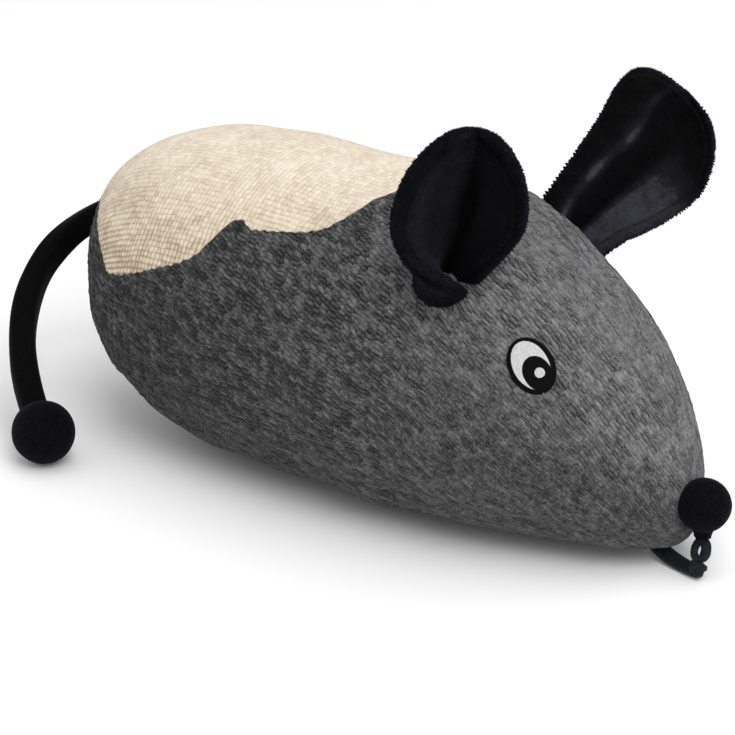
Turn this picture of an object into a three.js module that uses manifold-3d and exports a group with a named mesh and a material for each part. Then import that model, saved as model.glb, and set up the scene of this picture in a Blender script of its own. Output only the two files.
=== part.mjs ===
// A stuffed catnip mouse: a knitted shell of four panels round a fibre filling with a catnip sachet in it,
// two cupped plush ears, embroidered eyes, a nose ball, a chin tape with a knot and a loop, and a tail that
// ends in a ball. Millimetres, +X to the nose, +Y to the mouse's left, +Z up, the floor at height zero.
import * as THREE from "three";
import { mergeVertices } from "three/addons/utils/BufferGeometryUtils.js";
import Module from "manifold-3d";

const wasm = await Module();
wasm.setup();

// Body outline. Stations are counted forwards from the rump.
const bodyLength = 157;
const bodyWidth = 76;
const bodyHeight = 71;
const rumpBehindOrigin = 80;
const rumpHeight = 45; // rearmost point, where the tail is sewn in
const snoutHeight = 15.5; // foremost point, where the nose is sewn on
const crownFromSnout = 58; // highest point of the back
const girthStation = 80; // widest point from above
const rumpRise = 32; // how far the outline runs straight up from the rump
const rumpDrop = 35; // and straight down
const backRun = 54; // level run of the back behind the crown
const foreheadRun = 12; // and in front of it
const snoutRise = 24.5;
const chinDrop = 14;
const bellyRear = 58; // the belly is level from here
const bellyRearRun = 32; // rounding off behind that point
const bellyFromSnout = 59; // to this far behind the snout
const chinFromSnout = 3;
const rumpSpread = 43;
const flankRun = 33;
const cheekRun = 44;
const snoutSpread = 18;
const waistShare = 0.42; // height of the widest line, as a share of each section's height
const backSquareness = 2.15;
const bellySquareness = 2.3;
const bellyPress = 0.5; // the belly is pressed flat this deep where it stands

// Knit shell and its seams.
const knitThickness = 2.5;
const seamGap = 0.3;
const fitGap = 0.3;
const fillingGap = 0.9; // between the shell and the filling
const bellySeamTurn = 122; // degrees round from the top of the back
const patchEnd = 88; // station where the cream back panel ends, between the ears
const patchEndTurn = 3;
const patchEdge = [
  [0, 22], [11, 50], [20, 71], [25, 72], [38, 64], [48, 56],
  [54, 42], [57, 40], [61, 42], [74, 37], [80, 29], [84, 16],
]; // station and degrees from the top, from the rump to the nape
const tailHoleRadius = 2.4;
const shankHoleRadius = 3;

// Catnip sachet, laid in a pocket of the filling that opens on the belly.
const sachetLength = 48;
const sachetWidth = 36;
const sachetBulge = 7; // each cloth rises this far over the middle
const clothThickness = 0.8;
const pocketGap = 0.5;

// Ears.
const earHeight = 37;
const earWidth = 31; // laid flat
const earRootWidth = 21;
const earShoulder = 0.56; // share of the height where the ear is widest
const earRootCurl = 4.6; // radius of the cup at the root
const earTipCurl = 24;
const earBackThickness = 2.6;
const earLiningThickness = 1.4;
const rightEarFromSnout = 47.5;
const leftEarFromSnout = 45;
const rightEarTurn = 39; // degrees from the top of the head
const leftEarTurn = 37;
const rightEarLeanOut = 12;
const rightEarLeanForward = 20;
const rightEarTurnOut = 55; // degrees the cup's mouth is turned outwards
const leftEarLeanOut = 34;
const leftEarLeanForward = 26;
const leftEarTurnIn = 37;
const earFoldForward = 25; // travel the root is cut clear for
const earFoldBack = 20;

// Eyes.
const eyeHeight = 12;
const eyeWidth = 9.4;
const eyeFromSnout = 27;
const rightEyeTurn = 46.5; // degrees from the top of the head
const leftEyeTurn = 51;
const eyeTilt = 51; // degrees the eye's top leans back
const eyeRim = 0.75;
const threadRise = 0.36; // thickness of one field of stitches
const threadGap = 0.12;
const pupilHeight = 7.6;
const pupilWidth = 7;
const pupilDown = 2.1;
const pupilAhead = 0.5;
const glintDiameter = 2.3;

// Nose, chin tape and loop.
const noseDiameter = 11.6;
const noseSink = 2.8; // depth of the dent the ball is pulled into
const noseDrop = 0.3;
const shankDiameter = 2.4;
const shankLength = 9;
const shankKnotDiameter = 5;
const neckTopDiameter = 5.2;
const neckEndDiameter = 3.4;
const tapeWidth = 4.6; // at the chin
const tapeEndWidth = 2.6; // at the knot
const tapeThickness = 0.9;
const tapeFromSnout = 8;
const tapeDip = 3; // the tape bends level this far in front of the chin seam
const knotDiameter = 3.6;
const knotAhead = 4.6; // of the snout
const knotAside = 4; // the loop lies over to the right
const floorGap = 0.3;
const loopCord = 1.1;
const loopHeight = 3.5;
const loopWidth = 3.8;

// Tail.
const tailDiameter = 6.4;
const tailCoreDiameter = 3.6;
const tailBallDiameter = 14.6;
const tailRootDiameter = 6.4;
const tailRootOut = 1.8; // the root's centre stands this far off the rump
const tailBallForward = 16; // of the tail's root
const tailBallSide = 47; // out to the mouse's right
const tailSweepBack = 31;
const tailSweepDown = 13;
const tailReturnBack = 29; // from the ball
const tailReturnIn = 14;
const tailReturnUp = 15;
const tailCoreInBall = 5;

const degrees = THREE.MathUtils.degToRad;
const bodyEnd = bodyLength - rumpBehindOrigin;
const crownStation = bodyLength - crownFromSnout;
const eyeStation = bodyLength - eyeFromSnout;

const greyKnit = new THREE.MeshStandardMaterial({ color: 0x565656, roughness: 0.95, metalness: 0 });
const creamKnit = new THREE.MeshStandardMaterial({ color: 0xe6dcc6, roughness: 0.95, metalness: 0 });
const blackPlush = new THREE.MeshStandardMaterial({ color: 0x17171a, roughness: 1, metalness: 0 });
const blackLining = new THREE.MeshStandardMaterial({ color: 0x202026, roughness: 0.9, metalness: 0 });
const blackThread = new THREE.MeshStandardMaterial({ color: 0x0e0e0f, roughness: 0.5, metalness: 0 });
const whiteThread = new THREE.MeshStandardMaterial({ color: 0xe9e9ea, roughness: 0.5, metalness: 0 });
const blackFelt = new THREE.MeshStandardMaterial({ color: 0x121214, roughness: 1, metalness: 0 });
const blackElastic = new THREE.MeshStandardMaterial({ color: 0x0f0f10, roughness: 0.8, metalness: 0 });
const whiteFibre = new THREE.MeshStandardMaterial({ color: 0xf2f0ea, roughness: 1, metalness: 0 });
const naturalCloth = new THREE.MeshStandardMaterial({ color: 0xd8cdb4, roughness: 0.95, metalness: 0 });
const driedLeaf = new THREE.MeshStandardMaterial({ color: 0x6d7443, roughness: 1, metalness: 0 });

// Solids are joined and cut as manifolds and turned back into meshes.
function toManifold(geometry) {
  const bare = geometry.clone();
  for (const name of ["normal", "uv"]) bare.deleteAttribute(name);
  const welded = mergeVertices(bare, 1e-4);
  return new wasm.Manifold(new wasm.Mesh({
    numProp: 3,
    vertProperties: new Float32Array(welded.attributes.position.array),
    triVerts: new Uint32Array(welded.index.array),
  }));
}

function toGeometry(manifold) {
  const mesh = manifold.getMesh();
  const geometry = new THREE.BufferGeometry();
  geometry.setAttribute("position", new THREE.BufferAttribute(mesh.vertProperties, 3));
  geometry.setIndex(new THREE.BufferAttribute(mesh.triVerts, 1));
  geometry.computeVertexNormals();
  return geometry;
}

function cut(geometry, ...cutters) {
  const whole = toManifold(geometry);
  return toGeometry(cutters.reduce((solid, cutter) => solid.subtract(toManifold(cutter)), whole));
}

function overlap(first, second) {
  return toGeometry(toManifold(first).intersect(toManifold(second)));
}

function join(first, ...others) {
  return toGeometry(others.reduce((solid, other) => solid.add(toManifold(other)), toManifold(first)));
}

// A closed mesh from points and faces, its faces turned outwards.
function closedMesh(points, faces) {
  const fan = new THREE.Vector3();
  const volume = faces
    .map(([a, b, c]) => points[a].dot(fan.crossVectors(points[b], points[c])))
    .reduce((sum, share) => sum + share, 0);
  const geometry = new THREE.BufferGeometry().setFromPoints(points);
  geometry.setIndex(faces.flatMap(([a, b, c]) => (volume < 0 ? [a, c, b] : [a, b, c])));
  geometry.computeVertexNormals();
  return geometry;
}

// A sheet with thickness between two grids of points of the same size.
function sheet(outer, inner) {
  const rows = outer.length;
  const columns = outer[0].length;
  const points = [...outer.flat(), ...inner.flat()];
  const top = (r, c) => r * columns + c;
  const under = (r, c) => (rows + r) * columns + c;
  const faces = [];
  const quad = (a, b, c, d) => faces.push([a, b, c], [a, c, d]);
  for (let r = 0; r + 1 < rows; r++) {
    for (let c = 0; c + 1 < columns; c++) {
      quad(top(r, c), top(r + 1, c), top(r + 1, c + 1), top(r, c + 1));
      quad(under(r, c), under(r, c + 1), under(r + 1, c + 1), under(r + 1, c));
    }
  }
  const last = columns - 1;
  for (let r = 0; r + 1 < rows; r++) {
    quad(top(r, 0), under(r, 0), under(r + 1, 0), top(r + 1, 0));
    quad(top(r, last), top(r + 1, last), under(r + 1, last), under(r, last));
  }
  for (let c = 0; c < last; c++) {
    quad(top(0, c), top(0, c + 1), under(0, c + 1), under(0, c));
    quad(top(rows - 1, c), under(rows - 1, c), under(rows - 1, c + 1), top(rows - 1, c + 1));
  }
  return closedMesh(points, faces);
}

// Body surface: three outlines give each section's top, bottom and half width.
const at = (x, y) => new THREE.Vector2(x, y);
const topOutline = [
  new THREE.CubicBezierCurve(at(0, rumpHeight), at(0, rumpHeight + rumpRise),
    at(crownStation - backRun, bodyHeight), at(crownStation, bodyHeight)),
  new THREE.CubicBezierCurve(at(crownStation, bodyHeight), at(crownStation + foreheadRun, bodyHeight),
    at(bodyLength, snoutHeight + snoutRise), at(bodyLength, snoutHeight)),
];
const bottomOutline = [
  new THREE.CubicBezierCurve(at(0, rumpHeight), at(0, rumpHeight - rumpDrop),
    at(bellyRear - bellyRearRun, -bellyPress), at(bellyRear, -bellyPress)),
  new THREE.LineCurve(at(bellyRear, -bellyPress), at(bodyLength - bellyFromSnout, -bellyPress)),
  new THREE.CubicBezierCurve(
    at(bodyLength - bellyFromSnout, -bellyPress), at(bodyLength - chinFromSnout, -bellyPress),
    at(bodyLength, snoutHeight - chinDrop), at(bodyLength, snoutHeight)),
];
const sideOutline = [
  new THREE.CubicBezierCurve(at(0, 0), at(0, rumpSpread),
    at(girthStation - flankRun, bodyWidth / 2), at(girthStation, bodyWidth / 2)),
  new THREE.CubicBezierCurve(at(girthStation, bodyWidth / 2), at(girthStation + cheekRun, bodyWidth / 2),
    at(bodyLength, snoutSpread), at(bodyLength, 0)),
];

function heightAt(outline, station) {
  const curve = outline.find((part) => station <= part.getPoint(1).x) ?? outline.at(-1);
  let low = 0;
  let high = 1;
  for (let step = 0; step < 36; step++) {
    const middle = (low + high) / 2;
    if (curve.getPoint(middle).x < station) low = middle;
    else high = middle;
  }
  return curve.getPoint((low + high) / 2).y;
}

const sections = new Map();
function sectionAt(station) {
  if (!sections.has(station)) {
    sections.set(station, {
      top: heightAt(topOutline, station),
      bottom: heightAt(bottomOutline, station),
      half: heightAt(sideOutline, station),
    });
  }
  return sections.get(station);
}

// A point of the surface before pressing: turn is zero on the back and grows down the mouse's right side.
function roundPoint(station, turn) {
  const { top, bottom, half } = sectionAt(station);
  const waist = bottom + waistShare * (top - bottom);
  const sine = Math.sin(turn);
  const cosine = Math.cos(turn);
  const power = 2 / (cosine >= 0 ? backSquareness : bellySquareness);
  const reach = cosine >= 0 ? top - waist : waist - bottom;
  return new THREE.Vector3(
    station - rumpBehindOrigin,
    -half * Math.sign(sine) * Math.abs(sine) ** power,
    waist + reach * Math.sign(cosine) * Math.abs(cosine) ** power,
  );
}

function skinNormal(station, turn) {
  const ahead = roundPoint(Math.min(station + 0.1, bodyLength), turn);
  const along = ahead.sub(roundPoint(Math.max(station - 0.1, 0), turn));
  const round = roundPoint(station, turn + 0.02).sub(roundPoint(station, turn - 0.02));
  return round.cross(along).normalize();
}

// A point this far inside the skin, with the belly pressed flat on the floor.
function skinPoint(station, turn, inset) {
  const point = roundPoint(station, turn).addScaledVector(skinNormal(station, turn), -inset);
  point.z = Math.max(point.z, inset);
  return point;
}

function spread(count, value) {
  return Array.from({ length: count + 1 }, (_, index) => value(index / count));
}

// Stations where the shell starts round the tail and stops round the nose.
function stationOfHalfWidth(radius, from, to) {
  let near = from;
  let far = to;
  for (let step = 0; step < 40; step++) {
    const middle = (near + far) / 2;
    if (heightAt(sideOutline, middle) < radius) near = middle;
    else far = middle;
  }
  return near;
}
const firstStation = stationOfHalfWidth(tailHoleRadius, 0, girthStation);
const lastStation = stationOfHalfWidth(shankHoleRadius, bodyLength, girthStation);
const napeStation = patchEnd + seamGap;
const quarter = Math.PI / 2;
const rearStations = spread(18, (t) => patchEnd - (patchEnd - firstStation) * Math.cos(t * quarter));
const frontStations = spread(14, (t) => napeStation + (lastStation - napeStation) * Math.sin(t * quarter));
const allStations = [...rearStations, ...frontStations];

// A closed solid of the whole body, this far inside the skin.
function bodySolid(inset, columns) {
  const rings = allStations.map((station) => (
    spread(columns, (t) => skinPoint(station, t * Math.PI * 2, inset)).slice(0, columns)));
  const points = rings.flat();
  const faces = [];
  for (let r = 0; r + 1 < rings.length; r++) {
    for (let c = 0; c < columns; c++) {
      const here = r * columns + c;
      const next = r * columns + ((c + 1) % columns);
      faces.push([here, here + columns, next + columns], [here, next + columns, next]);
    }
  }
  for (const [ring, sense] of [[0, 1], [rings.length - 1, -1]]) {
    const middle = rings[ring].reduce((sum, point) => sum.add(point), new THREE.Vector3());
    points.push(middle.divideScalar(columns));
    for (let c = 0; c < columns; c++) {
      const pair = [ring * columns + c, ring * columns + ((c + 1) % columns)];
      faces.push([points.length - 1, ...(sense > 0 ? pair : pair.reverse())]);
    }
  }
  return closedMesh(points, faces);
}

// A knit panel over these stations, between two turns that may change along the body.
function knitPanel(stations, fromTurn, toTurn, columns) {
  const layer = (inset) => stations.map((station) => {
    const edge = seamGap / 2 / sectionAt(station).half;
    const start = fromTurn(station) + edge;
    const end = toTurn(station) - edge;
    return spread(columns, (t) => skinPoint(station, start + (end - start) * t, inset));
  });
  return sheet(layer(0), layer(knitThickness));
}

const patchPoints = [...patchEdge, [patchEnd, patchEndTurn]];
const patchCurve = new THREE.SplineCurve(patchPoints.map(([station, turn]) => at(station, turn)));
const patchTurn = (station) => (station > patchEnd ? 0 : degrees(heightAt([patchCurve], station)));
const bellyTurn = () => degrees(bellySeamTurn);

const part = new THREE.Group();
part.name = "catnip_mouse";
function add(name, geometry, material, parent = part) {
  const mesh = new THREE.Mesh(geometry, material);
  mesh.name = name;
  parent.add(mesh);
  return mesh;
}

// The mouse's right half is made; the left half is its mirror image.
const rightSide = new THREE.Group();
const leftSide = new THREE.Group();
leftSide.scale.y = -1;
part.add(rightSide, leftSide);

// Nose ball, pulled into a dent of the snout.
const noseRadius = noseDiameter / 2;
const noseCentre = new THREE.Vector3(bodyEnd + noseRadius - noseSink, 0, snoutHeight - noseDrop);
function ball(diameter, centre, columns, rows) {
  return new THREE.SphereGeometry(diameter / 2, columns, rows).translate(centre.x, centre.y, centre.z);
}
const noseDent = ball(noseDiameter + 2 * fitGap, noseCentre, 24, 16);
add("nose_ball", ball(noseDiameter, noseCentre, 18, 12), blackFelt);

// The tail's knuckle sits in the mouth of a hole in the rump.
const tailPivot = new THREE.Vector3(-rumpBehindOrigin - tailRootOut, 0, rumpHeight);
const tailKnuckle = (gap) => ball(tailRootDiameter + 2 * gap, tailPivot, 18, 12);
const tailHole = tailKnuckle(fitGap);

// Knit shell: two side panels, the cream back panel and the belly panel.
const sidePanel = cut(knitPanel(allStations, patchTurn, bellyTurn, 10), noseDent, tailHole);
add("side_panel_right", sidePanel, greyKnit, rightSide);
add("side_panel_left", sidePanel.clone(), greyKnit, leftSide);
const backPanel = knitPanel(rearStations, (s) => -patchTurn(s), patchTurn, 10);
add("back_panel", cut(backPanel, tailHole), creamKnit);
const bellyPanel = knitPanel(allStations, bellyTurn, () => 2 * Math.PI - bellyTurn(), 10);
add("belly_panel", cut(bellyPanel, noseDent, tailHole), greyKnit);

// Ears: a plush back and a lining, one cup inside the other, sewn on at the root.
function earHalf(rise) {
  const topShare = (rise - earShoulder) / (1 - earShoulder);
  if (topShare > 0) return earWidth / 2 * Math.sqrt(1 - topShare ** 2);
  const swell = THREE.MathUtils.smoothstep(rise, 0, earShoulder);
  return (earRootWidth + (earWidth - earRootWidth) * swell) / 2;
}
function earPoint(rise, across, depth) {
  const curl = earRootCurl + (earTipCurl - earRootCurl) * Math.max(rise, 0);
  const angle = across * earHalf(rise) / curl;
  const radius = curl - depth;
  const back = curl - radius * Math.cos(angle) - earRootCurl;
  return new THREE.Vector3(back, radius * Math.sin(angle), rise * earHeight);
}
const earRises = spread(11, (t) => -0.14 + 1.133 * Math.sin(t * Math.PI / 2));
function earLayer(fromDepth, toDepth) {
  const layer = (depth) => earRises.map((rise) => spread(10, (t) => earPoint(rise, 2 * t - 1, depth)));
  return sheet(layer(fromDepth), layer(toDepth));
}
const earBack = earLayer(-earBackThickness - fitGap / 2, -fitGap / 2);
const earLining = earLayer(fitGap / 2, fitGap / 2 + earLiningThickness);
const headForEar = bodySolid(-fitGap, 48);
for (const [side, sense, fromSnout, turn, leanOut, leanForward, turnOut] of [
  ["right", 1, rightEarFromSnout, rightEarTurn, rightEarLeanOut, rightEarLeanForward, rightEarTurnOut],
  ["left", -1, leftEarFromSnout, leftEarTurn, leftEarLeanOut, leftEarLeanForward, -leftEarTurnIn],
]) {
  const ear = new THREE.Group();
  ear.position.copy(skinPoint(bodyLength - fromSnout, degrees(sense * turn), -fitGap));
  ear.rotation.set(degrees(sense * leanOut), degrees(leanForward), degrees(-sense * turnOut));
  part.add(ear);
  ear.updateMatrix();
  const head = headForEar.clone().applyMatrix4(ear.matrix.clone().invert());
  const swept = [-earFoldForward, -earFoldForward / 2, 0, earFoldBack / 2, earFoldBack]
    .map((fold) => head.clone().applyMatrix4(new THREE.Matrix4().makeRotationY(degrees(fold))));
  add(`ear_${side}_back`, cut(earBack, ...swept), blackPlush, ear);
  add(`ear_${side}_lining`, cut(earLining, ...swept), blackLining, ear);
}

// Eyes: four fields of thread, one over the other, on the curve of the head.
function eyeField(turn, width, height, ahead, down, layer, points) {
  const outward = skinNormal(eyeStation, degrees(turn));
  const forward = new THREE.Vector3(1, 0, 0).addScaledVector(outward, -outward.x).normalize();
  const upward = new THREE.Vector3().crossVectors(outward, forward);
  const place = new THREE.Matrix4().makeBasis(forward, upward, outward)
    .multiply(new THREE.Matrix4().makeRotationZ(degrees(eyeTilt)))
    .setPosition(skinPoint(eyeStation, degrees(turn), 0));
  const oval = new THREE.Shape().absellipse(ahead, -down, width / 2, height / 2, 0, Math.PI * 2, false, 0);
  const prism = new THREE.ExtrudeGeometry(oval, { depth: 8, bevelEnabled: false, curveSegments: points });
  prism.translate(0, 0, -4).applyMatrix4(place);
  const foot = fitGap + layer * (threadRise + threadGap);
  return cut(overlap(prism, bodySolid(-foot - threadRise, 48)), bodySolid(-foot, 48));
}
for (const [side, group, turn] of [["right", rightSide, rightEyeTurn], ["left", leftSide, leftEyeTurn]]) {
  const rim = eyeField(turn, eyeWidth, eyeHeight, 0, 0, 0, 14);
  const white = eyeField(turn, eyeWidth - 2 * eyeRim, eyeHeight - 2 * eyeRim, 0, 0, 1, 14);
  const pupil = eyeField(turn, pupilWidth, pupilHeight, pupilAhead, pupilDown, 2, 12);
  const glint = eyeField(turn, glintDiameter, glintDiameter, pupilAhead, pupilDown, 3, 8);
  add(`eye_${side}_rim`, rim, blackThread, group);
  add(`eye_${side}_white`, white, whiteThread, group);
  add(`eye_${side}_pupil`, pupil, blackThread, group);
  add(`eye_${side}_glint`, glint, whiteThread, group);
}

// Shank: the thread that ties the nose to the filling, with a knot at its inner end.
const shankStart = new THREE.Vector3(noseCentre.x - noseRadius - fitGap, 0, noseCentre.z);
const shankEnd = shankStart.clone().setX(shankStart.x - shankLength);
function shankShape(gap) {
  const radius = shankDiameter / 2 + gap;
  const thread = new THREE.CylinderGeometry(radius, radius, shankLength, 14);
  thread.rotateZ(Math.PI / 2).translate((shankStart.x + shankEnd.x) / 2, 0, shankStart.z);
  return join(thread, ball(shankKnotDiameter + 2 * gap, shankEnd, 14, 10));
}
add("nose_shank", shankShape(0), blackThread);

// Chin tape: sewn into the chin, then level to a knot on the floor, with a loop of cord above the knot.
const tapeRoot = skinPoint(bodyLength - tapeFromSnout, Math.PI, -fitGap - tapeThickness / 2);
const knotCentre = new THREE.Vector3(bodyEnd + knotAhead, -knotAside, floorGap + knotDiameter / 2);
const tapeWay = knotCentre.clone().sub(tapeRoot).setZ(0).normalize();
const tapeSide = new THREE.Vector3(-tapeWay.y, tapeWay.x, 0);
const tapeEnd = knotCentre.clone().addScaledVector(tapeWay, -knotDiameter / 2 - fitGap);
const tapeBend = tapeRoot.clone().addScaledVector(tapeWay, tapeDip).setZ(knotCentre.z);
const tapeRun = new THREE.QuadraticBezierCurve3(tapeRoot, tapeBend, tapeEnd);
function tapeFace(rise) {
  return spread(10, (along) => spread(2, (across) => {
    const width = THREE.MathUtils.lerp(tapeWidth, tapeEndWidth, along);
    const point = tapeRun.getPoint(along).addScaledVector(tapeSide, width * (across - 0.5));
    return point.setZ(point.z + rise);
  }));
}
add("chin_tape", sheet(tapeFace(-tapeThickness / 2), tapeFace(tapeThickness / 2)), blackElastic);
add("loop_knot", ball(knotDiameter, knotCentre, 14, 10), blackElastic);

const loopFoot = knotCentre.clone().setZ(knotCentre.z + knotDiameter / 2 + fitGap);
const loopTop = new THREE.Vector3(noseCentre.x, 0, loopFoot.z + loopHeight);
const loopRun = loopTop.clone().sub(loopFoot);
const loopRadius = (loopRun.length() - loopCord) / 2;
const loopAlong = loopRun.clone().normalize();
const loopAcross = new THREE.Vector3(-loopAlong.y, loopAlong.x, 0).normalize();
const loopRing = new THREE.TorusGeometry(loopRadius, loopCord / 2, 8, 20);
loopRing.scale(loopWidth / (2 * loopRadius + loopCord), 1, 1);
loopRing.applyMatrix4(new THREE.Matrix4()
  .makeBasis(loopAcross, loopAlong, loopAcross.clone().cross(loopAlong))
  .setPosition(loopFoot.clone().add(loopTop).multiplyScalar(0.5)));
add("nose_loop", loopRing, blackElastic);

// Neck: the nose ball's cover is gathered under the ball and meets the loop.
const neckEnd = loopTop.z + fitGap;
const neckTop = noseCentre.z - noseRadius / 2;
const neckLength = neckTop - neckEnd;
const neckShape = new THREE.CylinderGeometry(neckTopDiameter / 2, neckEndDiameter / 2, neckLength, 16);
neckShape.rotateX(Math.PI / 2).translate(noseCentre.x, 0, (neckTop + neckEnd) / 2);
add("nose_neck", cut(neckShape, noseDent), blackFelt);

// Tail: from the knuckle in the rump seam a covered cord curls round to a ball on the floor.
add("tail_root", tailKnuckle(0), blackPlush);
const tailBallCentre = new THREE.Vector3(
  tailPivot.x + tailBallForward, -tailBallSide, floorGap + tailBallDiameter / 2,
);
const tailRun = new THREE.CubicBezierCurve3(
  tailPivot,
  tailPivot.clone().add(new THREE.Vector3(-tailSweepBack, 0, -tailSweepDown)),
  tailBallCentre.clone().add(new THREE.Vector3(-tailReturnBack, tailReturnIn, tailReturnUp)),
  tailBallCentre,
);
function whereFrom(centre, distance, from, to) {
  let near = from;
  let far = to;
  for (let step = 0; step < 40; step++) {
    const middle = (near + far) / 2;
    if (tailRun.getPoint(middle).distanceTo(centre) < distance) near = middle;
    else far = middle;
  }
  return near;
}
function tailCord(radius, hollow, intoBall, steps) {
  const start = whereFrom(tailPivot, tailRootDiameter / 2 + fitGap, 0, 0.5);
  const end = whereFrom(tailBallCentre, tailBallDiameter / 2 - intoBall, 1, 0.5);
  const run = new THREE.CatmullRomCurve3(spread(14, (t) => tailRun.getPoint(start + (end - start) * t)));
  const section = new THREE.Shape().absarc(0, 0, radius, 0, Math.PI * 2, false);
  if (hollow) section.holes.push(new THREE.Path().absarc(0, 0, hollow, 0, Math.PI * 2, true));
  return new THREE.ExtrudeGeometry(section, { extrudePath: run, steps, curveSegments: 7 });
}
const tailCoreRadius = tailCoreDiameter / 2;
const tailCover = tailCord(tailDiameter / 2, tailCoreRadius + fitGap, 2, 16);
const tailBall = ball(tailBallDiameter, tailBallCentre, 18, 12);
add("tail_cover", cut(tailCover, ball(tailBallDiameter + 2 * fitGap, tailBallCentre, 24, 16)), blackPlush);
add("tail_core", tailCord(tailCoreRadius, 0, tailCoreInBall, 16), naturalCloth);
add("tail_ball", cut(tailBall, tailCord(tailCoreRadius + fitGap, 0, tailCoreInBall + fitGap, 16)), blackFelt);

// Catnip sachet: two squares of cloth, sewn together at the edge round a pad of dried leaf.
const sachetMiddle = knitThickness + fitGap + clothThickness + sachetBulge + fitGap / 2;
const sachetRise = (u, v) => sachetBulge * (1 - u * u) * (1 - v * v);
function sachetGrid(count, share, height) {
  return spread(count, (s) => spread(count, (t) => {
    const u = (2 * s - 1) * share;
    const v = (2 * t - 1) * share;
    return new THREE.Vector3(u * sachetLength / 2, v * sachetWidth / 2, height(sachetRise(u, v)));
  }));
}
const sachetCloth = sheet(
  sachetGrid(10, 1, (rise) => fitGap / 2 + rise + clothThickness),
  sachetGrid(10, 1, (rise) => fitGap / 2 + rise),
);
const leafPad = sheet(
  sachetGrid(8, 0.8, (rise) => rise - fitGap / 2),
  sachetGrid(8, 0.8, (rise) => fitGap / 2 - rise),
);
const sachet = new THREE.Group();
sachet.position.z = sachetMiddle;
part.add(sachet);
add("sachet_upper_cloth", sachetCloth, naturalCloth, sachet);
add("sachet_lower_cloth", sachetCloth.clone(), naturalCloth, sachet).scale.z = -1;
add("catnip_leaf", leafPad, driedLeaf, sachet);

// Fibre filling: all the room inside the shell but the sachet's pocket and the shank's hole.
const pocketTop = sachetMiddle + fitGap / 2 + sachetBulge + clothThickness + pocketGap;
const pocketLength = sachetLength + 2 * pocketGap;
const pocket = new THREE.BoxGeometry(pocketLength, sachetWidth + 2 * pocketGap, 2 * pocketTop);
const room = bodySolid(knitThickness + fillingGap, 40);
add("fibre_filling", cut(room, pocket, shankShape(fitGap)), whiteFibre);

export default part;
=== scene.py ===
import math

import bmesh
import bpy
import numpy as np
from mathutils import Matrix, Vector
from mathutils.bvhtree import BVHTree


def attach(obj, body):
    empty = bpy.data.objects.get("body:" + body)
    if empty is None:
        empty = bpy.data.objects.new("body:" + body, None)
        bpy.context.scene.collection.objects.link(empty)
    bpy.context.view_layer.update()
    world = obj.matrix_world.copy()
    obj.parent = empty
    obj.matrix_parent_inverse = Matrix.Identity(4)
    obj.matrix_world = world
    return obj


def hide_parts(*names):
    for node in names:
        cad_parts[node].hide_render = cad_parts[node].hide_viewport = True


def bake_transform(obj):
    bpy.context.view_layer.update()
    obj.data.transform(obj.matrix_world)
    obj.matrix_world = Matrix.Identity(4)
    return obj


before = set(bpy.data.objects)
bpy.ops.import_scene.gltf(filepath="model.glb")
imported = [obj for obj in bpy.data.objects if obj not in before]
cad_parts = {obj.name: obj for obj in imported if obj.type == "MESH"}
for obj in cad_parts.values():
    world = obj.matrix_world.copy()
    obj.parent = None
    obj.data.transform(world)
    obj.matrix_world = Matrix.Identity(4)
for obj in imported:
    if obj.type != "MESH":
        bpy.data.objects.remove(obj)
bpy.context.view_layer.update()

MM = 0.001

# Camera: a long lens that looks a little down on the mouse, from its right side and ahead of it.
# The frame is the photograph's square, shifted so that the toy stands where it does there.
toy_middle = Vector((0, 0, 0.03))
sight_azimuth, sight_height, sight_distance = math.radians(37.79), math.radians(23.18), 0.6
sight_back = Vector((
    math.sin(sight_azimuth) * math.cos(sight_height),
    -math.cos(sight_azimuth) * math.cos(sight_height),
    math.sin(sight_height),
))
lens = bpy.data.cameras.new("camera")
lens.sensor_width = 36.0
lens.lens = 132.2
lens.shift_x = -0.0441
lens.shift_y = -0.0282
camera = bpy.data.objects.new("camera", lens)
camera.location = toy_middle + sight_distance * sight_back
camera.rotation_euler = (-sight_back).to_track_quat("-Z", "Y").to_euler()
bpy.context.scene.collection.objects.link(camera)
bpy.context.scene.camera = camera
bpy.context.scene.view_settings.view_transform = "Standard"

# Knit side panels: heather grey wool mix, cut from machine knit and sewn round the stuffing.
# The wales run from rump to snout, and every stitch is a slanting pair of legs that stand proud.
# A place on the body is a station, in mm from the rump, and a turn, from the top of the back.
body_length, rump_x = 157.0, -80.0
belly_seam = math.radians(122)
waist_share, back_power, belly_power = 0.42, 2 / 2.15, 2 / 2.3
patch_end = 88.0
wale, course = 2.0, 2.2
stitch_rise, cloth_thickness, lump_depth = 0.4, 1.3, 0.6
seam_depth, seam_reach, pucker_pitch = 0.75, 2.2, 6.5
wide_leg, wide_slope, narrow_slope, leg_shear = 0.6, 0.62, -0.5, 0.34
leg_power, step_power = 0.7, 0.6
curve_steps, ruler_steps, girth_steps = 800, 200, 240


def bow(*corners):
    t = np.linspace(0, 1, curve_steps)[:, None]
    a, b, c, d = (np.array(corner, float) for corner in corners)
    return (1 - t) ** 3 * a + 3 * (1 - t) ** 2 * t * b + 3 * (1 - t) * t ** 2 * c + t ** 3 * d


back_line = np.vstack([
    bow((0, 45), (0, 77), (45, 71), (99, 71)),
    bow((99, 71), (111, 71), (157, 40), (157, 15.5)),
])
belly_line = np.vstack([
    bow((0, 45), (0, 10), (26, -0.5), (58, -0.5)),
    bow((94, -0.5), (120, 0.6), (138, 3), (153, 4.2)),
    bow((153, 4.2), (156.5, 4.5), (157, 7), (157, 15.5)),
])
flank_line = np.vstack([
    bow((0, 0), (0, 43), (47, 38), (80, 38)),
    bow((80, 38), (124, 38), (157, 18), (157, 0)),
])


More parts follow.
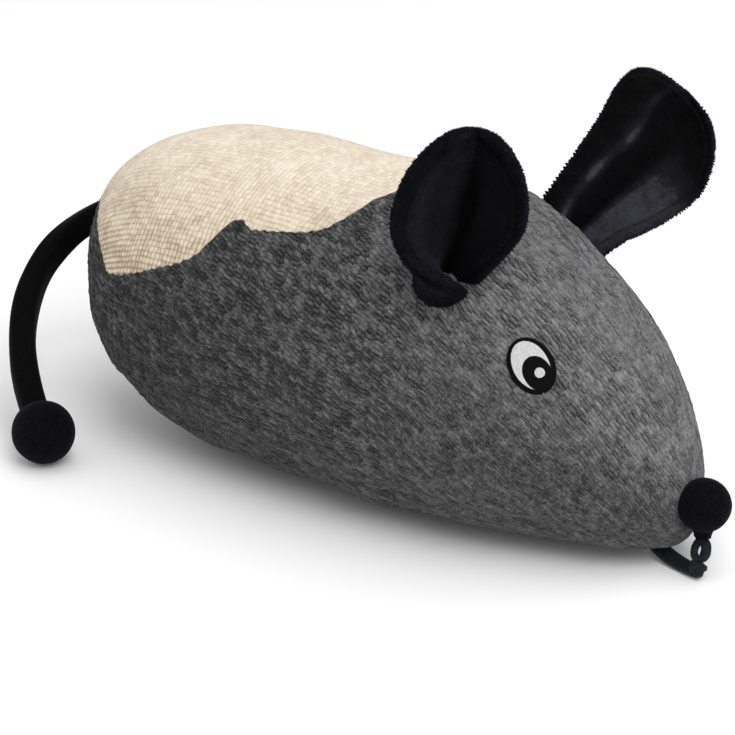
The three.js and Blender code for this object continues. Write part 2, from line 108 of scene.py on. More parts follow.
def body_point(station, turn):
    top, under, half = (np.interp(station, *line.T) for line in (back_line, belly_line, flank_line))
    waist = under + waist_share * (top - under)
    up, out = np.cos(turn), np.sin(turn)
    power = np.where(up > 0, back_power, belly_power)
    reach = np.where(up > 0, top - waist, waist - under)
    y = -half * np.sign(out) * np.abs(out) ** power
    z = waist + reach * np.sign(up) * np.abs(up) ** power
    return np.stack([station + rump_x, y, np.maximum(z, 0)], -1)


def body_normal(station, turn):
    end_gap, step, twist = 0.3, 0.2, 0.02
    station = np.clip(station, end_gap, body_length - end_gap)
    ahead = body_point(station + step, turn) - body_point(station - step, turn)
    around = body_point(station, turn + twist) - body_point(station, turn - twist)
    normal = np.cross(around, ahead)
    return normal / np.maximum(np.linalg.norm(normal, axis=-1, keepdims=True), 1e-9)


# Lengths along the cloth, so that stitches keep their size wherever the body swells.
ruler_station = np.concatenate([
    np.linspace(0, 1, ruler_steps) ** 2 * 8,
    np.linspace(8.2, 149, ruler_steps),
    body_length - np.linspace(1, 0, ruler_steps) ** 2 * 7.8,
])
ruler_count = len(ruler_station)
ruler_step = np.diff(body_point(ruler_station, np.full(ruler_count, math.pi / 2)), axis=0)
ruler_length = np.concatenate([[0], np.cumsum(np.linalg.norm(ruler_step, axis=1))])
girth_turns = np.linspace(0, 2 * math.pi, girth_steps + 1)
girth_rows = body_point(*np.broadcast_arrays(ruler_station[:, None], girth_turns))
girth_table = np.concatenate([
    np.zeros((ruler_count, 1)), np.cumsum(np.linalg.norm(np.diff(girth_rows, axis=1), axis=2), axis=1),
], axis=1)


def along(station):
    return np.interp(station, ruler_station, ruler_length)


def read_table(table, row, column):
    low, left = np.clip(row.astype(int), 0, len(table) - 2), column.astype(int)
    s, t = row - low, column - left
    near = table[low, left] * (1 - t) + table[low, left + 1] * t
    far = table[low + 1, left] * (1 - t) + table[low + 1, left + 1] * t
    return near * (1 - s) + far * s


def girth(station, turn):
    row = np.interp(station, ruler_station, np.arange(ruler_count))
    return read_table(girth_table, row, np.clip(turn / (2 * math.pi) * girth_steps, 0, girth_steps - 0.001))


def patch_turn(station):
    knots = np.array([
        (0, 32), (10, 55), (20, 71), (25, 72), (38, 64), (48, 56), (54, 42), (57, 40), (61, 42), (74, 37),
        (80, 29), (84, 16), (patch_end, 3),
    ], float)
    before, after = np.vstack([knots[:1], knots[:-1]]), np.vstack([knots[1:], knots[-1:]])
    slope = (after - before) / 2
    t = np.linspace(0, 1, 40)[:, None, None]
    run = ((2 * t ** 3 - 3 * t ** 2 + 1) * knots[:-1] + (t ** 3 - 2 * t ** 2 + t) * slope[:-1]
           + (3 * t ** 2 - 2 * t ** 3) * knots[1:] + (t ** 3 - t ** 2) * slope[1:])
    edge = run.transpose(1, 0, 2).reshape(-1, 2)
    turn = np.radians(np.interp(station, edge[:, 0], edge[:, 1]))
    stitches = 0.012 * np.abs(2 * np.mod(along(station) / course, 1) - 1)
    return np.where(station > patch_end, 0, np.maximum(turn + stitches, 0))


def held_at(turn):
    return lambda station: np.full_like(station, turn)


def stitch_height(courses, wales):
    wales = wales + leg_shear * (np.mod(courses, 1) - 0.5)
    side = np.mod(wales, 1)
    narrow = side > wide_leg
    leg = np.where(narrow, (side - wide_leg) / (1 - wide_leg), side / wide_leg)
    stitch = courses + np.where(narrow, narrow_slope, wide_slope) * (leg - 0.5)
    rounded = np.sin(math.pi * leg) ** leg_power * np.sin(math.pi * np.mod(stitch, 1)) ** step_power
    # A fixed hash of the stitch's number makes each stitch plump to its own degree.
    number = np.floor(stitch) * 12.9898 + (2 * np.floor(wales) + narrow) * 78.233
    plump = 0.7 + 0.6 * np.mod(np.sin(number) * 43758.5453, 1)
    return rounded * plump * np.where(narrow, 0.8, 1)


def weave_height(courses, wales):
    return 0.5 + 0.5 * np.cos(2 * math.pi * wales) * np.cos(2 * math.pi * courses)


def waver(point, seed, shortest, longest):
    draw = np.random.default_rng(seed)
    ways = draw.normal(0, 1, (9, 3))
    ways /= np.linalg.norm(ways, axis=1, keepdims=True)
    ways *= 2 * math.pi / draw.uniform(shortest, longest, (9, 1))
    return np.sin(point @ ways.T + draw.uniform(0, 6.28, 9)).sum(axis=1) / 3


def stuffing_lumps(point):
    x, y, z = point.T / 10
    return (0.5 * np.sin(1.7 * x + 0.6 * y + 0.4) * np.sin(1.3 * z + 0.5 * x)
            + 0.35 * np.sin(2.9 * x - 1.1 * z + 2.0) * np.sin(2.3 * z + 1.4 * y + 0.7))


def fade(value, start, length):
    return np.clip((value - start) / length, 0, 1)


def finished(name, shape, mesh=None):
    mesh = mesh or bpy.data.meshes.new(name)
    for face in shape.faces:
        face.smooth = True
    shape.to_mesh(mesh)
    shape.free()
    made = bpy.data.objects.new(name, mesh)
    bpy.context.scene.collection.objects.link(made)
    return made


def knit_panel(name, node, cells, stations, from_turn, to_turn, grain_turn, rise, pitch, height, mirror=1):
    shape = bmesh.new()
    bmesh.ops.create_grid(shape, x_segments=cells[0], y_segments=cells[1], size=0.5)
    panel = bpy.data.meshes.new(name)
    shape.to_mesh(panel)
    shape.free()
    place = np.empty(len(panel.vertices) * 3)
    panel.vertices.foreach_get("co", place)
    place = place.reshape(-1, 3) + 0.5
    first, last = along(np.array(stations))
    length = first + (last - first) * place[:, 0]
    station = np.interp(length, ruler_length, ruler_station)
    start, end = from_turn(station), to_turn(station)
    turn = start + (end - start) * place[:, 1]
    across = np.sign(turn) * girth(station, np.abs(turn))
    to_seam = np.minimum(*(
        np.abs(np.abs(across) - girth(station, np.full_like(turn, seam)))
        for seam in (belly_seam, 2 * math.pi - belly_seam)
    ))
    grain = girth(station, np.full_like(turn, grain_turn))
    from_grain = (grain + grain.max()) / 2 - across
    point, normal = body_point(station, turn), body_normal(station, turn)
    courses = length / pitch[0] + 0.16 * waver(point, 1, 5, 14)
    wales = from_grain / pitch[1] + 0.13 * waver(point, 2, 5, 14)

    # Cheeks, underside, snout and forehead are brushed, and painted light makes the knit lighter towards the
    # head and up the back.
    tilt = np.degrees(np.abs(turn))
    brushing_and_painted_light = np.maximum.reduce([
        fade(station, 94, 26) * fade(tilt, 36, 28),
        np.minimum(fade(tilt, 88, 30), 0.7),
        np.minimum(fade(station, 128, 20), 0.45),
        0.8 * fade(16 - tilt, 0, 8) * fade(station, 90, 10),
    ])
    painted_front_light = fade(station, 38, 85) * (1 - 0.62 * fade(tilt, 38, 45))
    # Painted shade: the lower down the side, the darker the cream back panel is drawn.
    low = fade(tilt, 12, 55)
    pucker = 1 + 0.4 * np.sin(2 * math.pi * length / pucker_pitch)
    quiet = fade(np.minimum(station, body_length - station), 0, 6)
    lift = rise * (height(courses, wales) - 0.65) * (1 - 0.5 * brushing_and_painted_light)
    lift += 0.1 * waver(point, 4, 1.2, 2.4) * brushing_and_painted_light * min(1, rise / stitch_rise)
    lift += lump_depth * stuffing_lumps(point) - seam_depth * pucker * np.exp(-(to_seam / seam_reach) ** 2)
    point = point + normal * (lift * quiet)[:, None]
    point[:, 2] = np.maximum(point[:, 2], 0.02)
    point[:, 1] *= mirror
    panel.vertices.foreach_set("co", (point * MM).ravel())
    cloth = panel.uv_layers.new(name="cloth")
    corner = np.empty(len(panel.loops), int)
    panel.loops.foreach_get("vertex_index", corner)
    cloth.data.foreach_set("uv", np.stack([courses, wales], -1)[corner].ravel())
    for label, value in (("brushing_and_painted_light", brushing_and_painted_light), ("painted_front_light", painted_front_light), ("low", low)):
        panel.attributes.new(label, "FLOAT", "POINT").data.foreach_set("value", value.astype(np.float32))

    shape = bmesh.new()
    shape.from_mesh(panel)
    bmesh.ops.remove_doubles(shape, verts=shape.verts, dist=1e-6)
    sample = list(shape.faces)[::97]
    if sum((face.normal.dot(face.calc_center_median() - toy_middle) for face in sample), 0.0) < 0:
        bmesh.ops.reverse_faces(shape, faces=shape.faces)
    made = finished(name, shape, panel)
    wall = made.modifiers.new("cloth", "SOLIDIFY")
    wall.thickness = cloth_thickness * MM
    wall.offset = -1
    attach(made, "body")
    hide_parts(node)
    return made


def wire(tree, kind, inputs, out=0, **settings):
    made = tree.nodes.new("ShaderNode" + kind)
    for key, value in settings.items():
        setattr(made, key, value)
    for key, value in inputs.items():
        if isinstance(value, bpy.types.NodeSocket):
            tree.links.new(value, made.inputs[key])
        else:
            made.inputs[key].default_value = value
    return made.outputs[out]


def sums(tree, operation, *values):
    return wire(tree, "Math", dict(enumerate(values)), operation=operation)


def weighed(tree, total, *parts):
    for part, weight in parts:
        total = sums(tree, "MULTIPLY_ADD", part, weight, total)
    return total


def arch(tree, share):
    return sums(tree, "SINE", sums(tree, "MULTIPLY", share, math.pi))


def painted(tree, label):
    return wire(tree, "Attribute", {}, out=2, attribute_name=label)


def cloth_place(tree):
    split = tree.nodes.new("ShaderNodeSeparateXYZ")
    tree.links.new(wire(tree, "UVMap", {}, uv_map="cloth"), split.inputs[0])
    return split.outputs[0], split.outputs[1]


def noise(tree, scale, detail, roughness, stretch=None):
    where = wire(tree, "TexCoord", {}, out=3)
    if stretch:
        where = wire(tree, "Mapping", {0: where, 3: stretch})
    return wire(tree, "TexNoise", {"Vector": where, "Scale": scale, "Detail": detail, "Roughness": roughness})


def finish_of(name, roughness, sheen, sheen_colour, gloss=0.12):
    made = bpy.data.materials.new(name)
    made.use_nodes = True
    coat = made.node_tree.nodes["Principled BSDF"]
    coat.inputs["Roughness"].default_value = roughness
    coat.inputs["Specular IOR Level"].default_value = gloss
    coat.inputs["Sheen Weight"].default_value = sheen
    coat.inputs["Sheen Roughness"].default_value = 0.45
    coat.inputs["Sheen Tint"].default_value = (*sheen_colour, 1)
    return made, made.node_tree, coat


def tint(tree, coat, factor, *stops):
    made = tree.nodes.new("ShaderNodeValToRGB")
    tree.links.new(factor, made.inputs[0])
    while len(made.color_ramp.elements) < len(stops):
        made.color_ramp.elements.new(0.5)
    for element, (place, colour) in zip(made.color_ramp.elements, stops):
        element.position = place
        element.color = (*colour, 1)
    tree.links.new(made.outputs[0], coat.inputs["Base Color"])


def bump(tree, coat, height, strength, depth):
    lifted = wire(tree, "Bump", {"Height": height, "Strength": strength, "Distance": depth * MM})
    tree.links.new(lifted, coat.inputs["Normal"])


grey_knit, tree, coat = finish_of("grey knit", 0.95, 0.15, (0.8, 0.8, 0.85))
course_place, wale_place = cloth_place(tree)
fray = sums(tree, "SUBTRACT", noise(tree, 750.0, 3.0, 0.6), 0.5)
course_place = sums(tree, "MULTIPLY_ADD", fray, 0.55, course_place)
wale_place = sums(tree, "MULTIPLY_ADD", fray, -0.4, wale_place)
course_share = sums(tree, "SUBTRACT", sums(tree, "FRACT", course_place), 0.5)
wale_place = sums(tree, "MULTIPLY_ADD", course_share, leg_shear, wale_place)
side = sums(tree, "FRACT", wale_place)
narrow = sums(tree, "GREATER_THAN", side, wide_leg)
wide_share = sums(tree, "DIVIDE", side, wide_leg)
narrow_share = sums(tree, "DIVIDE", sums(tree, "SUBTRACT", side, wide_leg), 1 - wide_leg)
leg = wire(tree, "Mix", {0: narrow, 2: wide_share, 3: narrow_share})
leg_slope = sums(tree, "MULTIPLY_ADD", narrow, narrow_slope - wide_slope, wide_slope)
leg_offset = sums(tree, "MULTIPLY", leg_slope, sums(tree, "SUBTRACT", leg, 0.5))
stitch = sums(tree, "ADD", course_place, leg_offset)
across_leg = sums(tree, "POWER", arch(tree, leg), leg_power)
along_leg = sums(tree, "POWER", arch(tree, sums(tree, "FRACT", stitch)), step_power)
leg_number = sums(tree, "ADD", sums(tree, "MULTIPLY", sums(tree, "FLOOR", wale_place), 2.0), narrow)
stitch_number = wire(tree, "CombineXYZ", {0: sums(tree, "FLOOR", stitch), 1: leg_number})
yarn = wire(tree, "TexWhiteNoise", {0: stitch_number}, noise_dimensions="2D")
fibre = noise(tree, 1500.0, 4.0, 0.75)
marl = noise(tree, 420.0, 3.0, 0.65)
clear = sums(tree, "MULTIPLY_ADD", painted(tree, "brushing_and_painted_light"), -0.5, 1.0)
raised = sums(tree, "MULTIPLY", sums(tree, "MULTIPLY", across_leg, along_leg), clear)
# Painted shade darkens the gaps between the stitch legs, and painted highlights brighten the raised legs.
gap_shade_share = wire(tree, "Clamp", {0: sums(tree, "MULTIPLY_ADD", yarn, -4.0, 2.0)})
painted_gap_shade = sums(tree, "MULTIPLY", sums(tree, "SUBTRACT", 1.0, across_leg), along_leg)
painted_gap_shade = sums(tree, "MULTIPLY", sums(tree, "MULTIPLY", painted_gap_shade, gap_shade_share), clear)
tone = weighed(
    tree, -0.78, (sums(tree, "MULTIPLY", yarn, clear), 0.3), (raised, 0.24), (painted_gap_shade, -0.55), (fibre, 1.3),
    (marl, 0.7), (clear, -0.3), (painted(tree, "painted_front_light"), 0.37),
)
tint(tree, coat, tone, (0.0, (0.012, 0.012, 0.0125)), (0.3, (0.05, 0.05, 0.051)),
     (0.6, (0.125, 0.125, 0.127)), (1.0, (0.25, 0.25, 0.254)))
bump(tree, coat, sums(tree, "MULTIPLY_ADD", fibre, 0.7, raised), 0.7, 0.4)

for side_name, mirror in (("right", 1), ("left", -1)):
    panel = knit_panel(
        f"knit_side_{side_name}", f"side_panel_{side_name}", (250, 188), (0, body_length), patch_turn,
        held_at(belly_seam), belly_seam, stitch_rise, (course, wale), stitch_height, mirror,
    )
    panel.data.materials.append(grey_knit)

# Belly panel: one piece of the same grey knit, sewn to both sides and pressed flat where the toy rests.
# Its wales run on from the seams, and it rises a little from the chest to the chin.
belly = knit_panel(
    "knit_belly", "belly_panel", (220, 150), (0, body_length), held_at(belly_seam),
    held_at(2 * math.pi - belly_seam), belly_seam, stitch_rise, (course, wale), stitch_height,
)
belly.data.materials.append(grey_knit)

# Back panel: the cream saddle from the rump to the nape, a finer and flatter cloth of two-tone yarn.
# Thin ribs cross the back, and tan specks show where the threads part.
rib_pitch, row_pitch, weave_rise = 1.2, 1.3, 0.14
cream_knit, tree, coat = finish_of("cream knit", 0.9, 0.1, (1.0, 0.97, 0.9))
rib_place, row_place = cloth_place(tree)
slub = noise(tree, 160.0, 3.0, 0.6)
patchy = noise(tree, 60.0, 2.0, 0.5)
rib = sums(tree, "MULTIPLY_ADD", slub, 0.7, rib_place)
row = sums(tree, "MULTIPLY_ADD", slub, 0.6, row_place)
rib_depth = sums(tree, "MULTIPLY_ADD", patchy, 1.4, -0.3)
row_depth = sums(tree, "MULTIPLY_ADD", patchy, -1.4, 1.1)
rib_round = sums(tree, "POWER", sums(tree, "ABSOLUTE", arch(tree, rib)), rib_depth)
row_round = sums(tree, "POWER", sums(tree, "ABSOLUTE", arch(tree, row)), row_depth)
thread = sums(tree, "MULTIPLY", rib_round, row_round)
knot_number = wire(tree, "CombineXYZ", {0: sums(tree, "FLOOR", rib), 1: sums(tree, "FLOOR", row)})
fleck = wire(tree, "TexWhiteNoise", {0: knot_number}, noise_dimensions="2D")
fibre = noise(tree, 1300.0, 3.0, 0.6)
# Painted shade: the cloth is darker, and its gaps darker, lower down the sides.
painted_side_shade = painted(tree, "low")
contrast = sums(tree, "MULTIPLY_ADD", sums(tree, "MULTIPLY", painted_side_shade, painted_side_shade), 0.34, 0.13)
tone = weighed(
    tree, 0.0, (fleck, 0.18), (sums(tree, "SUBTRACT", thread, 0.75), contrast), (fibre, 0.45), (slub, 0.4),
    (painted_side_shade, -0.26),
)
tint(tree, coat, tone, (0.05, (0.33, 0.25, 0.165)), (0.38, (0.62, 0.53, 0.41)), (0.72, (0.82, 0.745, 0.63)))
bump(tree, coat, sums(tree, "MULTIPLY_ADD", fibre, 0.3, thread), 0.6, 0.25)
saddle = knit_panel(
    "knit_back", "back_panel", (250, 180), (0, patch_end), lambda station: -patch_turn(station), patch_turn,
    0.0, weave_rise, (rib_pitch, row_pitch), weave_height,
)
saddle.data.materials.append(cream_knit)

# Ears: black plush, each a round folded at the root and gathered into a seam on the head.
# The pile covers the back and rolls over the rim, and a smooth black lining is set inside it.
# On an ear, rise runs from foot to tip and across from the outer edge to the inner one.
# Their colour carries painted light: shade down the folds and highlights on the ridges and flaps.
ear_height, ear_width, ear_bottom, ear_rim, ear_setback = 37.0, 31.0, -0.14, 1.2, 4.6
oval_shoulder, fan_shoulder = 0.45, 0.6
ear_rows, ear_columns = 70, 161


def napped(name, grain, weight, offset, stops, relief):
    made, tree, coat = finish_of(name, 0.95, 0.03, (0.7, 0.72, 1.0), 0.02)
    pile, nap_and_painted_light = noise(tree, *grain), noise(tree, 150.0, 3.0, 0.65)
    # A per-vertex attribute adds painted shade and painted highlights to the pile's own random tone.
    shade = weighed(tree, offset, (pile, weight), (nap_and_painted_light, 0.5))
    tint(tree, coat, sums(tree, "ADD", shade, painted(tree, "nap_and_painted_light")), *stops)
    bump(tree, coat, pile, *relief)
    return made


plush = napped("black plush", (900.0, 4.0, 0.7), 0.4, -0.45, (
    (0.0, (0.0006, 0.0006, 0.0008)), (0.4, (0.004, 0.004, 0.0048)),
    (0.75, (0.013, 0.013, 0.0165)), (1.0, (0.04, 0.04, 0.05)),
), (0.6, 0.5))
lining = napped("black lining", (1100.0, 3.0, 0.6), 0.35, -0.42, (
    (0.0, (0.0006, 0.0006, 0.0007)), (0.4, (0.004, 0.004, 0.0044)),
    (0.75, (0.012, 0.012, 0.0145)), (1.0, (0.04, 0.04, 0.05)),
), (0.35, 0.3))


def eased(share):
    return share * share * (3 - 2 * share)


def mid_height(rise):
    return np.sin(math.pi * np.clip(rise, 0, 1))


def oval_half(rise):
    below, above = fade(oval_shoulder - rise, 0, 1.3), fade(rise, oval_shoulder, 1 - oval_shoulder)
    return ear_width / 2 * np.sqrt(1 - np.where(rise > oval_shoulder, above, below) ** 2)


def oval_inner_share(rise):
    return 0.6 + 0.32 * fade(rise, 0, 0.5)


def fan_outer_share(rise):
    return (1 - 0.36 * np.clip((fan_shoulder - rise) / 0.6, 0, 1.3)) * (1 - 0.12 * mid_height(rise))


def fan_half(rise):
    above = fade(rise, fan_shoulder, 1 - fan_shoulder)
    return ear_width / 2 * (1 - above ** 2.6) ** (1 / 2.6) * fan_outer_share(rise)


def fan_inner_share(rise):
    fuller = 1 + 0.16 * mid_height(rise)
    return fuller * (1 - 0.3 * fade(0.72 - rise, 0, 0.5)) / fan_outer_share(rise)


def wrapped(across, rise):
    closed = eased(np.where(across < 0, fade(0.45 - rise, 0, 0.59), fade(0.5 - rise, 0, 0.45)))
    tube = np.where(across < 0, 4.6 * across, 1.8 * across) - 0.3
    return closed * tube + (1 - closed) * (0.9 - 0.45 * rise) * np.tanh(3.0 * (across - 0.05))


def pleated(across, rise):
    ridge, valley = np.tanh((across + 0.4) / 0.14), np.tanh((across - 0.16) / 0.16)
    return (1.1 - 0.5 * rise) * (0.75 - 0.68 * (ridge + 1) + 0.75 * (valley + 1))


# Painted shade and light in the cupped ear: a dark crease down the middle, a lighter outer wall and a light
# band near its edge.
def cup_painted_light(across, rise):
    crease = np.exp(-((across - 0.1) / 0.22) ** 2)
    outer = np.where(across < 0, 0.52, 0.36) + 0.12 * np.exp(-((across + 0.75) / 0.12) ** 2)
    return outer - 0.5 * crease * fade(0.95 - rise, 0, 0.3)


# Painted light on the folded ear: a highlight along the ridge, a lighter lower flap and a slightly lighter
# outer strip.
def fan_painted_light(across, rise):
    ridge = np.exp(-((across + 0.42 + 0.05 * np.sin(8 * rise)) / 0.06) ** 2) * fade(1 - rise, 0, 0.3)
    flap = fade(across, 0.3, 0.2) * fade(0.8 - rise, 0, 0.25)
    return 0.3 + 0.08 * (across < -0.42) + (0.46 + 0.2 * np.sin(21 * rise + 2)) * ridge + 0.64 * flap


def ear_surface(pattern, rise, across, depth):
    half, inner_share, _, heading, root_aside, slant, _ = pattern
    shares = np.linspace(-1, 1, ear_columns)
    rises = np.linspace(ear_bottom, 1, ear_rows)[:, None]
    turn = heading(shares, rises)
    step = half(rises) * np.where(shares > 0, inner_share(rises), 1) * (shares[1] - shares[0])
    middle = ear_columns // 2
    row = np.clip((rise - ear_bottom) / (1 - ear_bottom) * (ear_rows - 1), 0, ear_rows - 1.001)
    column = np.clip((across + 1) * middle, 0, ear_columns - 1.001)
    run = []
    for way in (np.sin(turn) * step, np.cos(turn) * step):
        sweep = np.cumsum((way[:, 1:] + way[:, :-1]) / 2, axis=1)
        sweep = np.concatenate([np.zeros((ear_rows, 1)), sweep], axis=1)
        run.append(read_table(sweep - sweep[:, middle:middle + 1], row, column))
    facing = heading(across, rise)
    ahead = run[0] - ear_setback + depth * np.cos(facing)
    aside = run[1] - root_aside * (1 - eased(fade(rise, 0, 0.4))) - depth * np.sin(facing)
    return np.stack([ahead, aside, rise * ear_height - slant * across * mid_height(rise)], -1)


def turn_about(axis, degrees):
    c, s = math.cos(math.radians(degrees)), math.sin(math.radians(degrees))
    a, b = [(1, 2), (2, 0), (0, 1)][axis]
    turned = np.eye(3)
    turned[a, a], turned[a, b], turned[b, a], turned[b, b] = c, -s, s, c
    return turned


def ear_layer(name, cells, pattern, inset, middle, thickness, turned, seat, pile_length):
    half, shoulder, painted_light_of = pattern[0], pattern[2], pattern[6]
    shape = bmesh.new()
    painted_light_layer = shape.verts.layers.float.new("nap_and_painted_light")
    top = 1 - inset / ear_height
    for face_side in (1, -1):
        made = bmesh.ops.create_grid(shape, x_segments=cells, y_segments=cells, size=0.5)
        place = np.array([vert.co for vert in made["verts"]]) + 0.5
        across = np.sin((place[:, 0] - 0.5) * math.pi)
        rise = ear_bottom + (top - ear_bottom) * np.sin(place[:, 1] * math.pi / 2)
        full = np.maximum(half(rise), 1e-3)
        crown = shoulder + (rise - shoulder) * (1 - shoulder) / (top - shoulder)
        wide = np.where(rise > shoulder, half(crown) * (1 - 2 * inset / ear_width), full - inset)
        to_rim = np.minimum(wide * (1 - np.abs(across)), ear_height * (top - rise))
        to_rim = np.clip(np.minimum(to_rim, ear_height * (rise - ear_bottom)), 0, thickness)
        swell = np.sqrt(np.maximum(thickness ** 2 - (thickness - to_rim) ** 2, 0))
        share = across * np.clip(wide / full, 0, 1)
        point = ear_surface(pattern, rise, share, middle + face_side * swell)
        point = (point @ turned.T + seat) * MM
        # The front face takes the ear's painted light and shade, and the back face an even tone.
        nap_and_painted_light = painted_light_of(share, rise) if face_side > 0 else np.full(len(share), 0.42)
        for vert, co, brushing_and_painted_light in zip(made["verts"], point, nap_and_painted_light):
            vert.co = co
            vert[painted_light_layer] = brushing_and_painted_light
    bmesh.ops.remove_doubles(shape, verts=shape.verts, dist=2e-5)
    bmesh.ops.recalc_face_normals(shape, faces=shape.faces)

    # The pile: each face is drawn up to a tip, and the tips lean at random.
    pile = bmesh.ops.poke(shape, faces=shape.faces, offset=pile_length * 0.7, center_mode="MEAN")
    tips = pile["verts"]
    lean = np.random.default_rng(5).normal(0, 0.22 * pile_length, (len(tips), 3))
    for vert, shift in zip(tips, lean):
        vert.co += Vector(shift)
        around = [edge.other_vert(vert)[painted_light_layer] for edge in vert.link_edges]
        vert[painted_light_layer] = sum(around) / len(around)
    return finished(name, shape)


for side_name, sense, seat, lean_out, lean_forward, open_out, pattern in (
    ("right", 1, (29.61, -22.83, 59.59), 12, 20, 55,
     (oval_half, oval_inner_share, oval_shoulder, wrapped, 1.6, 0, cup_painted_light)),
    ("left", -1, (32.13, 21.54, 59.27), 34, 26, -37,
     (fan_half, fan_inner_share, fan_shoulder, pleated, 0, 5, fan_painted_light)),
):
    turned = turn_about(0, sense * lean_out) @ turn_about(1, lean_forward) @ turn_about(2, -sense * open_out)
    for layer_name, cells, inset, middle, thickness, pile_length, finish, slot_name in (
        ("back", 96, 0.0, -0.5, 2.0, 0.7 * MM, plush, "black_plush"),
        ("lining", 80, ear_rim, 1.6, 0.7, 0.35 * MM, lining, "black_lining"),
    ):
        ear = ear_layer(
            f"plush_ear_{side_name}_{layer_name}", cells, pattern, inset, middle, thickness, turned, seat,
            pile_length,
        )
        ear.data.materials.append(finish)
        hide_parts(f"ear_{side_name}_{layer_name}")
        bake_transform(ear)

# Eyes: four fields of satin stitch, one over the other, worked into the cheek.
# A black outline, a grey-white oval, a black pupil and a small light spot.
eye_tilt = math.radians(51)
eye_height, eye_width, eye_rim = 12.4, 9.6, 0.75
pupil_height, pupil_width, glint = 7.4, 6.1, 2.25
thread_rise, thread_pitch, thread_depth = 0.22, 0.5, 0.03
cheek_length, cheek_swing, cheek_proud = 40, 1.2, 0.12


def spun(name, coating, grain, dark, light, relief):
    made, tree, coat = finish_of(name, *coating)
    strand = noise(tree, *grain)
    tint(tree, coat, strand, (0.3, dark), (0.8, light))
    bump(tree, coat, strand, *relief)
    return made


black_thread = spun("black thread", (0.7, 0.02, (1, 1, 1), 0.05), (2600.0, 2.0, 0.5, (1, 1, 0.2)),
                    (0.0008, 0.0008, 0.0008), (0.003, 0.003, 0.003), (0.4, 0.15))
white_thread = spun("white thread", (0.6, 0.1, (1, 1, 1)), (2600.0, 2.0, 0.5, (1, 1, 0.2)),
                    (0.4, 0.4, 0.405), (0.56, 0.56, 0.565), (0.3, 0.15))


def close_ends(shape):
    bmesh.ops.holes_fill(shape, edges=[edge for edge in shape.edges if edge.is_boundary], sides=0)
    bmesh.ops.recalc_face_normals(shape, faces=shape.faces)


def eye_field(name, width, height, ahead, down, foot, mirror, cheek):
    cheek_form, seat, side_way, top_way, out = cheek
    shape = bmesh.new()
    made = bmesh.ops.create_grid(shape, x_segments=56, y_segments=56, size=1.0)
    for vert in made["verts"]:
        x, y = vert.co.x, vert.co.y
        disc_x, disc_y = x * math.sqrt(1 - y * y / 2), y * math.sqrt(1 - x * x / 2)
        edge = 1 - min(1.0, math.hypot(disc_x, disc_y))
        flat = seat + side_way * (disc_x * width / 2 + ahead) + top_way * (disc_y * height / 2 - down)
        spot, slope = cheek_form.ray_cast(Vector(flat + 6 * out), Vector(-out))[:2]
        proud = foot + thread_rise * min(1.0, math.sqrt(edge * 6))
        proud += thread_depth * math.sin(math.pi * disc_y * height / thread_pitch)
        vert.co = (spot + slope * math.copysign(proud, slope.dot(Vector(out)))) * MM
        vert.co.y *= mirror
    rim_edges = [edge for edge in shape.edges if edge.is_boundary]
    skirt = bmesh.ops.extrude_edge_only(shape, edges=rim_edges)["geom"]
    inward = Vector(out) * MM * (foot + 0.5)
    inward.y *= mirror
    for vert in (item for item in skirt if isinstance(item, bmesh.types.BMVert)):
        vert.co -= inward
    close_ends(shape)
    return finished(name, shape)


for side_name, mirror, eye_station, eye_turn in (
    ("right", 1, 130.0, math.radians(45.75)), ("left", -1, 127.5, math.radians(56)),
):
    eye_seat = body_point(np.array([eye_station]), np.array([eye_turn]))[0]
    eye_out = body_normal(np.array([eye_station]), np.array([eye_turn]))[0]
    eye_ahead = np.array([1.0, 0, 0]) - eye_out * eye_out[0]
    eye_ahead /= np.linalg.norm(eye_ahead)
    eye_over = np.cross(eye_out, eye_ahead)
    eye_side = math.cos(eye_tilt) * eye_ahead + math.sin(eye_tilt) * eye_over
    eye_top = math.cos(eye_tilt) * eye_over - math.sin(eye_tilt) * eye_ahead
    cheek_shape = bmesh.new()
    made = bmesh.ops.create_grid(cheek_shape, x_segments=60, y_segments=60, size=0.5)
    place = np.array([vert.co for vert in made["verts"]])
    cheek_station = eye_station + cheek_length * place[:, 0]
    cheek_turn = eye_turn + cheek_swing * place[:, 1]
    cheek_place = body_point(cheek_station, cheek_turn)
    cheek_lift = lump_depth * stuffing_lumps(cheek_place) + cheek_proud
    cheek_place += body_normal(cheek_station, cheek_turn) * cheek_lift[:, None]
    for vert, co in zip(made["verts"], cheek_place):
        vert.co = co
    cheek = (BVHTree.FromBMesh(cheek_shape), eye_seat, eye_side, eye_top, eye_out)
    cheek_shape.free()
    for field_name, width, height, ahead, down, foot, finish, slot_name in (
        ("rim", eye_width, eye_height, 0, 0, 0.05, black_thread, "black_thread"),
        ("white", eye_width - 2.5 * eye_rim, eye_height - 2 * eye_rim, -0.17, 0, 0.17, white_thread,
         "white_thread"),
        ("pupil", pupil_width, pupil_height, 0.2, 2.0, 0.29, black_thread, "black_thread"),
        ("glint", glint, glint, 0.6, 2.4, 0.41, white_thread, "white_thread"),
    ):
        field = eye_field(
            f"stitched_eye_{side_name}_{field_name}", width, height, ahead, down, foot, mirror, cheek)
        field.data.materials.append(finish)
        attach(field, "body")
        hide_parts(f"eye_{side_name}_{field_name}")

# Nose: a black felt ball drawn into the end of the snout by a thread that is knotted in the stuffing.
# Its cover is gathered below into a short neck.
nose_x, nose_z, nose_radius = 80.0, 15.2, 5.8
neck_radius, neck_flare, neck_top, neck_drop = 1.75, 1.5, 11.3, 3.4
felt = spun("black felt", (0.9, 0.03, (0.7, 0.72, 0.85), 0.03), (1400.0, 4.0, 0.7),
            (0.001, 0.001, 0.0013), (0.006, 0.006, 0.007), (0.45, 0.25))


